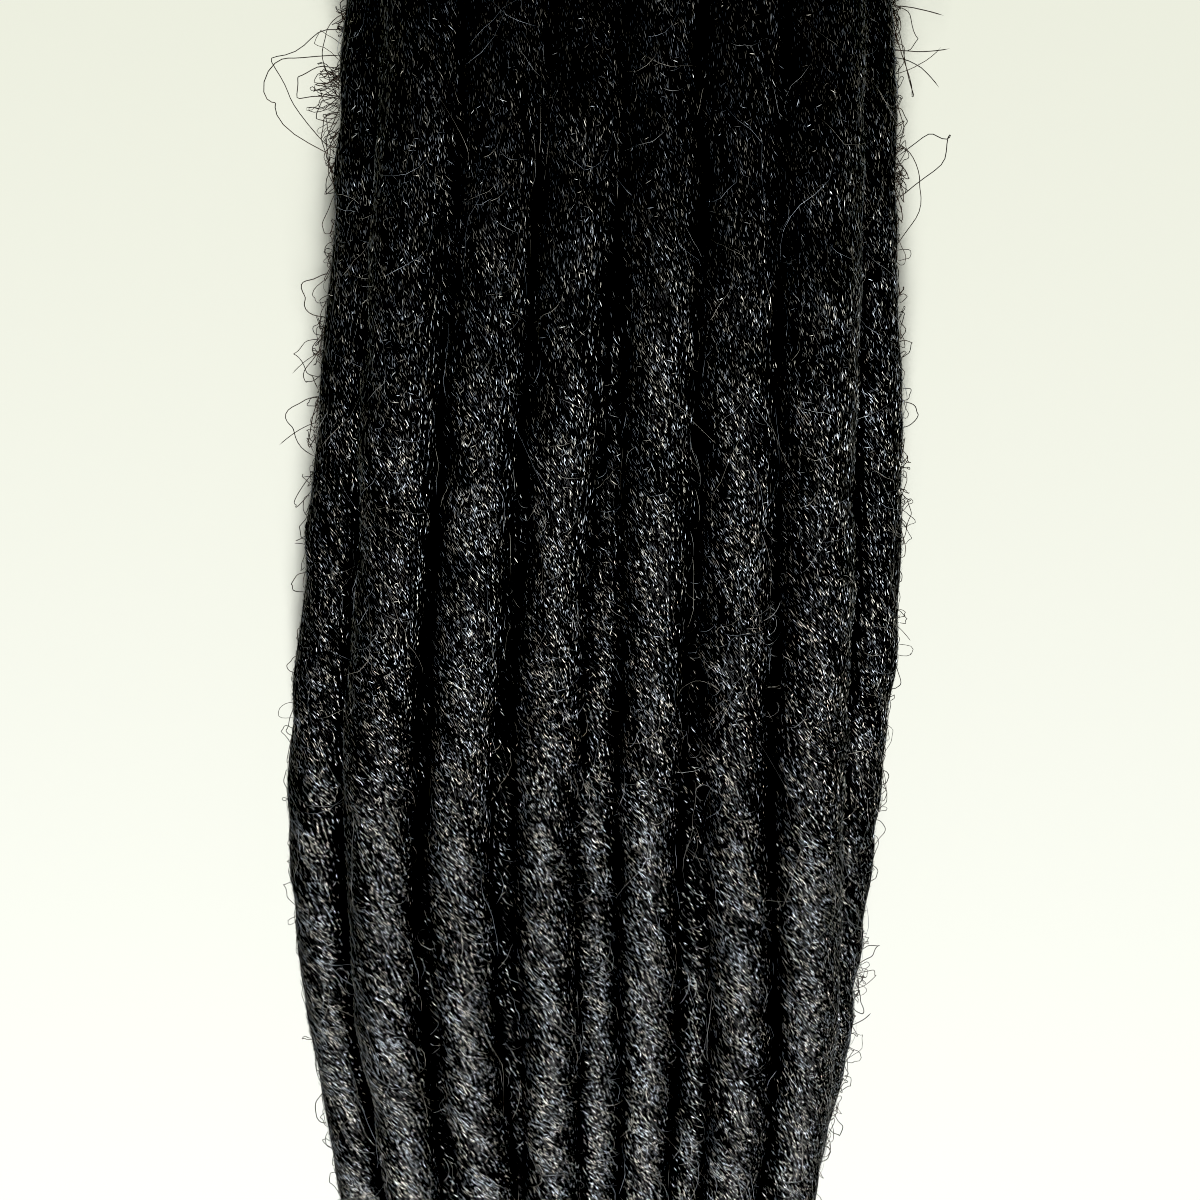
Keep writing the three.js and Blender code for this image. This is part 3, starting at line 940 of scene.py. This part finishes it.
def band_outline():
    """A loop of evenly spaced points round the locks inside the band, and their outward directions."""
    turns = np.linspace(0, 2 * np.pi, 720, endpoint=False)
    circles = [
        (lock.x(y), lock.z(y), lock.radius(y))
        for lock in locks
        for y in np.linspace(band_y - band_half - 1.0, band_y + band_half + 1.0, 5)
    ]
    x, z, radius = np.array(circles).T
    reach = x[:, None] * np.cos(turns) + z[:, None] * np.sin(turns) + radius[:, None]
    outermost = reach.argmax(axis=0)
    radius = radius[outermost] + BAND_CLEARANCE
    loop = np.stack([x[outermost] + radius * np.cos(turns), z[outermost] + radius * np.sin(turns)], axis=-1)
    loop = np.vstack([loop, loop[:1]])
    run = np.concatenate([[0.0], np.cumsum(np.linalg.norm(np.diff(loop, axis=0), axis=1))])
    at = np.linspace(0.0, run[-1], BAND_PLACES, endpoint=False)
    even = np.stack([np.interp(at, run, loop[:, 0]), np.interp(at, run, loop[:, 1])], axis=-1)
    for _ in range(BAND_SMOOTHING):
        even = (np.roll(even, 1, axis=0) + 2 * even + np.roll(even, -1, axis=0)) / 4
    along = unit(np.roll(even, -1, axis=0) - np.roll(even, 1, axis=0))
    return even, np.stack([along[:, 1], -along[:, 0]], axis=-1), at


def band_profile():
    """Places across the band and heights above its inside, once round the band's section."""
    across = np.linspace(-band_half, band_half, BAND_COLUMNS)
    from_edge = np.clip((band_half - np.abs(across)) / 0.7, 0.0, 1.0)
    ribs = BAND_RIB_DEPTH * np.cos(2 * np.pi * across / BAND_RIB) * from_edge
    top = BAND_THICKNESS * np.sqrt(1.0 - 0.75 * (1.0 - from_edge) ** 2) + ribs - BAND_RIB_DEPTH
    inside = np.linspace(band_half, -band_half, 7)
    return np.concatenate([across, inside]), np.concatenate([top, np.zeros(7)])


def band_piece(material):
    loop, out, run = band_outline()
    across, height = band_profile()
    rows, sides = len(across), len(loop)
    weave = 0.05 * np.cos(2 * np.pi * run / BAND_PICK)[None, :] * np.sign(np.cos(np.pi * across / BAND_RIB))[:, None]
    lift = height[:, None] + weave * (height > 0.5)[:, None]
    x = loop[None, :, 0] + out[None, :, 0] * lift
    z = loop[None, :, 1] + out[None, :, 1] * lift
    y = np.repeat(band_y + across[:, None], sides, axis=1)
    points = np.stack([x, y, np.maximum(z, 0.0)], axis=-1).reshape(-1, 3)
    row, side = (v.ravel() for v in np.meshgrid(np.arange(rows), np.arange(sides), indexing="ij"))
    below, beside = (row + 1) % rows, (side + 1) % sides
    a, b, c, d = row * sides + side, row * sides + beside, below * sides + beside, below * sides + side
    faces = np.vstack([np.stack([a, b, c], axis=-1), np.stack([a, c, d], axis=-1)])
    p = points[faces]
    volume = np.einsum("ij,ij->i", p[:, 0], np.cross(p[:, 1], p[:, 2])).sum()
    if volume < 0:
        faces = faces[:, ::-1]
    piece = make_object("elastic_band", points, faces, [material])
    place = np.stack([np.tile(run, rows), np.repeat(across, sides), np.repeat(height, sides)], axis=-1)
    layer = piece.data.attributes.new("strap_place", "FLOAT_VECTOR", "POINT")
    layer.data.foreach_set("vector", place.astype(np.float32).ravel())
    return piece


# Materials

def new_material(name):
    material = bpy.data.materials.new(name)
    material.use_nodes = True
    tree = material.node_tree
    shader = tree.nodes["Principled BSDF"]
    return material, tree, shader


def core_material():
    material, tree, shader = new_material("felt")
    nodes, links = tree.nodes, tree.links
    place = nodes.new("ShaderNodeAttribute")
    place.attribute_name = "twist_place"
    fine = nodes.new("ShaderNodeVectorMath")
    fine.operation = "MULTIPLY"
    fine.inputs[1].default_value = (7.0, 0.7, 7.0)
    links.new(place.outputs["Vector"], fine.inputs[0])
    grain = nodes.new("ShaderNodeTexNoise")
    grain.inputs["Scale"].default_value = 1.0
    grain.inputs["Detail"].default_value = 2.0
    links.new(fine.outputs[0], grain.inputs["Vector"])
    bump = nodes.new("ShaderNodeBump")
    bump.inputs["Strength"].default_value = 0.9
    bump.inputs["Distance"].default_value = FELT_BUMP * MM
    links.new(grain.outputs["Fac"], bump.inputs["Height"])
    links.new(bump.outputs["Normal"], shader.inputs["Normal"])
    finer = nodes.new("ShaderNodeVectorMath")
    finer.operation = "MULTIPLY"
    finer.inputs[1].default_value = FELT_DASHES
    links.new(place.outputs["Vector"], finer.inputs[0])
    dash = nodes.new("ShaderNodeTexNoise")
    dash.inputs["Scale"].default_value = 1.0
    dash.inputs["Detail"].default_value = 1.0
    links.new(finer.outputs[0], dash.inputs["Vector"])
    gloss = nodes.new("ShaderNodeMapRange")
    gloss.inputs["From Min"].default_value = 0.54
    gloss.inputs["From Max"].default_value = 0.6
    gloss.inputs["To Max"].default_value = FELT_GLOSS
    links.new(dash.outputs["Fac"], gloss.inputs["Value"])
    # painted shade: the gloss is multiplied by how open each place is, so the felt in the grooves is painted without
    # sheen
    shows = nodes.new("ShaderNodeAttribute")
    shows.attribute_name = "shows"
    gloss_with_painted_shade = nodes.new("ShaderNodeMath")
    gloss_with_painted_shade.operation = "MULTIPLY"
    links.new(gloss.outputs["Result"], gloss_with_painted_shade.inputs[0])
    links.new(shows.outputs["Fac"], gloss_with_painted_shade.inputs[1])
    links.new(gloss_with_painted_shade.outputs["Value"], shader.inputs["Specular IOR Level"])
    ramp = nodes.new("ShaderNodeValToRGB")
    ramp.color_ramp.elements[0].position = 0.35
    ramp.color_ramp.elements[0].color = (0.001, 0.001, 0.0012, 1)
    ramp.color_ramp.elements[1].position = 0.8
    ramp.color_ramp.elements[1].color = (0.006, 0.006, 0.006, 1)
    links.new(grain.outputs["Fac"], ramp.inputs["Fac"])
    links.new(ramp.outputs["Color"], shader.inputs["Base Color"])
    shader.inputs["Roughness"].default_value = FELT_ROUGHNESS
    shader.inputs["Specular IOR Level"].default_value = FELT_GLOSS / 3
    return material


def hair_material(name, tint, gloss):
    material, tree, shader = new_material(name)
    nodes, links = tree.nodes, tree.links
    tone = nodes.new("ShaderNodeAttribute")
    tone.attribute_name = "tone"
    ramp = nodes.new("ShaderNodeValToRGB")
    ramp.color_ramp.elements[0].position = 0.0
    ramp.color_ramp.elements[0].color = (0.001, 0.001, 0.001, 1)
    ramp.color_ramp.elements[1].position = 1.0
    ramp.color_ramp.elements[1].color = (*(HAIR_COLOUR * part for part in tint), 1)
    links.new(tone.outputs["Fac"], ramp.inputs["Fac"])
    links.new(ramp.outputs["Color"], shader.inputs["Base Color"])
    shader.inputs["Roughness"].default_value = HAIR_ROUGHNESS
    shader.inputs["IOR"].default_value = HAIR_IOR
    shader.inputs["Specular IOR Level"].default_value = gloss
    shader.inputs["Specular Tint"].default_value = (*tint, 1)
    return material


def lone_hair_material():
    """A single hair against the table is dark brown, each a little darker or lighter at random."""
    material, tree, shader = new_material("lone_hair")
    nodes, links = tree.nodes, tree.links
    tone = nodes.new("ShaderNodeAttribute")
    tone.attribute_name = "tone"
    ramp = nodes.new("ShaderNodeValToRGB")
    ramp.color_ramp.elements[0].color = (0.004, 0.003, 0.003, 1)
    ramp.color_ramp.elements[1].color = LONE_HAIR_COLOUR
    links.new(tone.outputs["Fac"], ramp.inputs["Fac"])
    links.new(ramp.outputs["Color"], shader.inputs["Base Color"])
    shader.inputs["Roughness"].default_value = 0.6
    shader.inputs["Specular IOR Level"].default_value = 0.3
    return material


def band_material():
    material, tree, shader = new_material("black_elastic")
    nodes, links = tree.nodes, tree.links
    place = nodes.new("ShaderNodeAttribute")
    place.attribute_name = "strap_place"
    fine = nodes.new("ShaderNodeVectorMath")
    fine.operation = "MULTIPLY"
    fine.inputs[1].default_value = (3.2, 6.0, 1.0)
    links.new(place.outputs["Vector"], fine.inputs[0])
    thread = nodes.new("ShaderNodeTexNoise")
    thread.inputs["Scale"].default_value = 1.0
    thread.inputs["Detail"].default_value = 3.0
    links.new(fine.outputs[0], thread.inputs["Vector"])
    bump = nodes.new("ShaderNodeBump")
    bump.inputs["Strength"].default_value = 0.7
    bump.inputs["Distance"].default_value = 0.15 * MM
    links.new(thread.outputs["Fac"], bump.inputs["Height"])
    links.new(bump.outputs["Normal"], shader.inputs["Normal"])
    ramp = nodes.new("ShaderNodeValToRGB")
    ramp.color_ramp.elements[0].position = 0.3
    ramp.color_ramp.elements[0].color = (0.006, 0.006, 0.007, 1)
    ramp.color_ramp.elements[1].position = 0.75
    ramp.color_ramp.elements[1].color = (0.022, 0.022, 0.024, 1)
    links.new(thread.outputs["Fac"], ramp.inputs["Fac"])
    links.new(ramp.outputs["Color"], shader.inputs["Base Color"])
    shader.inputs["Roughness"].default_value = 0.62
    shader.inputs["Specular IOR Level"].default_value = 0.4
    return material


def floor_material():
    """A pale warm table, a little greener away from the light and faintly mottled."""
    material, tree, shader = new_material("pale_table")
    nodes, links = tree.nodes, tree.links
    place = nodes.new("ShaderNodeTexCoord")
    split = nodes.new("ShaderNodeSeparateXYZ")
    links.new(place.outputs["Object"], split.inputs[0])
    along = nodes.new("ShaderNodeMapRange")
    along.inputs["From Min"].default_value = FLOOR_CHANGES[0] * MM
    along.inputs["From Max"].default_value = FLOOR_CHANGES[1] * MM
    links.new(split.outputs["Y"], along.inputs["Value"])
    mottle = nodes.new("ShaderNodeTexNoise")
    mottle.inputs["Scale"].default_value = 400.0
    mottle.inputs["Detail"].default_value = 3.0
    links.new(place.outputs["Object"], mottle.inputs["Vector"])
    weight = nodes.new("ShaderNodeMath")
    weight.operation = "MULTIPLY_ADD"
    weight.inputs[1].default_value = FLOOR_MOTTLE
    links.new(mottle.outputs["Fac"], weight.inputs[0])
    links.new(along.outputs["Result"], weight.inputs[2])
    ramp = nodes.new("ShaderNodeValToRGB")
    ramp.color_ramp.elements[0].color = (*FLOOR_NEAR, 1)
    ramp.color_ramp.elements[1].color = (*FLOOR_FAR, 1)
    links.new(weight.outputs["Value"], ramp.inputs["Fac"])
    links.new(ramp.outputs["Color"], shader.inputs["Base Color"])
    shader.inputs["Roughness"].default_value = 0.9
    shader.inputs["Specular IOR Level"].default_value = 0.1
    return material


# Floor, light and camera

def make_floor():
    size = 1000.0
    points = np.array([[-size, -size, 0], [size, -size, 0], [size, size, 0], [-size, size, 0]], float)
    floor = make_object("table_top", points, np.array([[0, 1, 2, 3]]), [floor_material()])


def area_light(name, place, aim, size, watts, colour=(1, 1, 1)):
    data = bpy.data.lights.new(name, "AREA")
    data.shape = "RECTANGLE"
    data.size, data.size_y = size[0] * MM, size[1] * MM
    data.energy = watts
    data.color = colour
    light = bpy.data.objects.new(name, data)
    light.location = Vector(place) * MM
    light.rotation_mode = "QUATERNION"
    light.rotation_quaternion = (Vector(aim) - Vector(place)).to_track_quat("-Z", "Y")
    bpy.context.scene.collection.objects.link(light)


def make_light():
    scene = bpy.context.scene
    world = bpy.data.worlds.new("studio")
    scene.world = world
    world.use_nodes = True
    nodes, links = world.node_tree.nodes, world.node_tree.links
    sky = nodes["Background"]
    sky.inputs["Color"].default_value = (0.95, 0.97, 1.0, 1)
    sky.inputs["Strength"].default_value = SKY
    backdrop = nodes.new("ShaderNodeBackground")
    backdrop.inputs["Color"].default_value = BACKDROP_COLOUR
    seen = nodes.new("ShaderNodeLightPath")
    mix = nodes.new("ShaderNodeMixShader")
    links.new(seen.outputs["Is Camera Ray"], mix.inputs["Fac"])
    links.new(sky.outputs["Background"], mix.inputs[1])
    links.new(backdrop.outputs["Background"], mix.inputs[2])
    links.new(mix.outputs["Shader"], nodes["World Output"].inputs["Surface"])
    area_light("key", KEY_PLACE, (0, 0, 0), KEY_SIZE, KEY_WATTS)
    scene.cycles.filter_width = 1.0
    view = scene.view_settings
    view.view_transform = "Standard"
    view.use_curve_mapping = True
    view.curve_mapping.black_level = (BLACK_LEVEL,) * 3
    view.curve_mapping.update()


def make_camera():
    lean = math.radians(CAMERA_LEAN)
    back = Vector((0.0, math.sin(lean), math.cos(lean)))
    right = Vector((1.0, 0.0, 0.0))
    up = back.cross(right)
    data = bpy.data.cameras.new("camera")
    data.sensor_width = 36.0
    data.lens = data.sensor_width / 2 / math.tan(math.radians(FIELD_OF_VIEW / 2))
    data.clip_start, data.clip_end = 0.01, 10.0
    camera = bpy.data.objects.new("camera", data)
    camera.rotation_mode = "QUATERNION"
    camera.rotation_quaternion = Matrix((right, up, back)).transposed().to_quaternion()
    camera.location = (Vector(CAMERA_AIM) + back * CAMERA_DISTANCE) * MM
    bpy.context.scene.collection.objects.link(camera)
    bpy.context.scene.camera = camera


make_camera()
make_light()
make_floor()
felt = core_material()
short_kinds = [hair_material("hair_" + name, tint, HAIR_GLOSS) for name, tint in HAIR_TINTS]
short_kinds.append(hair_material("hair_dull", HAIR_TINTS[1][1], DULL_GLOSS))
long_kinds = [hair_material("long_hair_" + name, tint, LONG_HAIR_GLOSS) for name, tint in HAIR_TINTS]
for lock in locks:
    rng = np.random.default_rng(SEED + lock.number)
    body = core_piece(lock, felt)
    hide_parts(lock.node)
    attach(body, "root")
    hairs = felted_hairs(lock, short_kinds, rng)
    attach(hairs, "root")

rng = np.random.default_rng(SEED)
shown = [lock for lock in locks if lock.open[2].max() > 0.5]
top = sorted((lock for lock in locks if lock.number <= 8), key=lambda lock: lock.x(0.0))
groups = {
    "wandering_hairs": (LYING_RADIUS, [wandering_lines(lock, WANDERERS_PER_LOCK, rng) for lock in shown]),
    "crossing_hairs": (LYING_RADIUS, [crossing_lines(a, b, CROSSERS, rng) for a, b in zip(top, top[1:])]),
    "edge_loops": (STRAY_RADIUS, [looped_lines(*np.array(LOOPS, float).T, LOOP_PLACES, rng)]),
    "edge_fuzz": (EDGE_RADIUS, [looped_lines(*small_loop_rows(rng), FUZZ_PLACES, rng)]),
    "free_hairs": (STRAY_RADIUS, [free_lines(rng)]),
    "fuzz": (LYING_RADIUS, [fuzz_lines(rng)]),
    "tip_hairs": (STRAY_RADIUS, [tip_lines(lock, rng) for lock in locks]),
}
web = web_piece(short_kinds, rng)
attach(web, "root")
lone = [lone_hair_material()]
for name, (radius, lines) in groups.items():
    kinds = long_kinds if radius is LYING_RADIUS else lone
    piece = long_hair_piece(name, np.concatenate(lines), radius, kinds, rng)
    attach(piece, "root")
band = band_piece(band_material())
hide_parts("tie_band")
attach(band, "root")
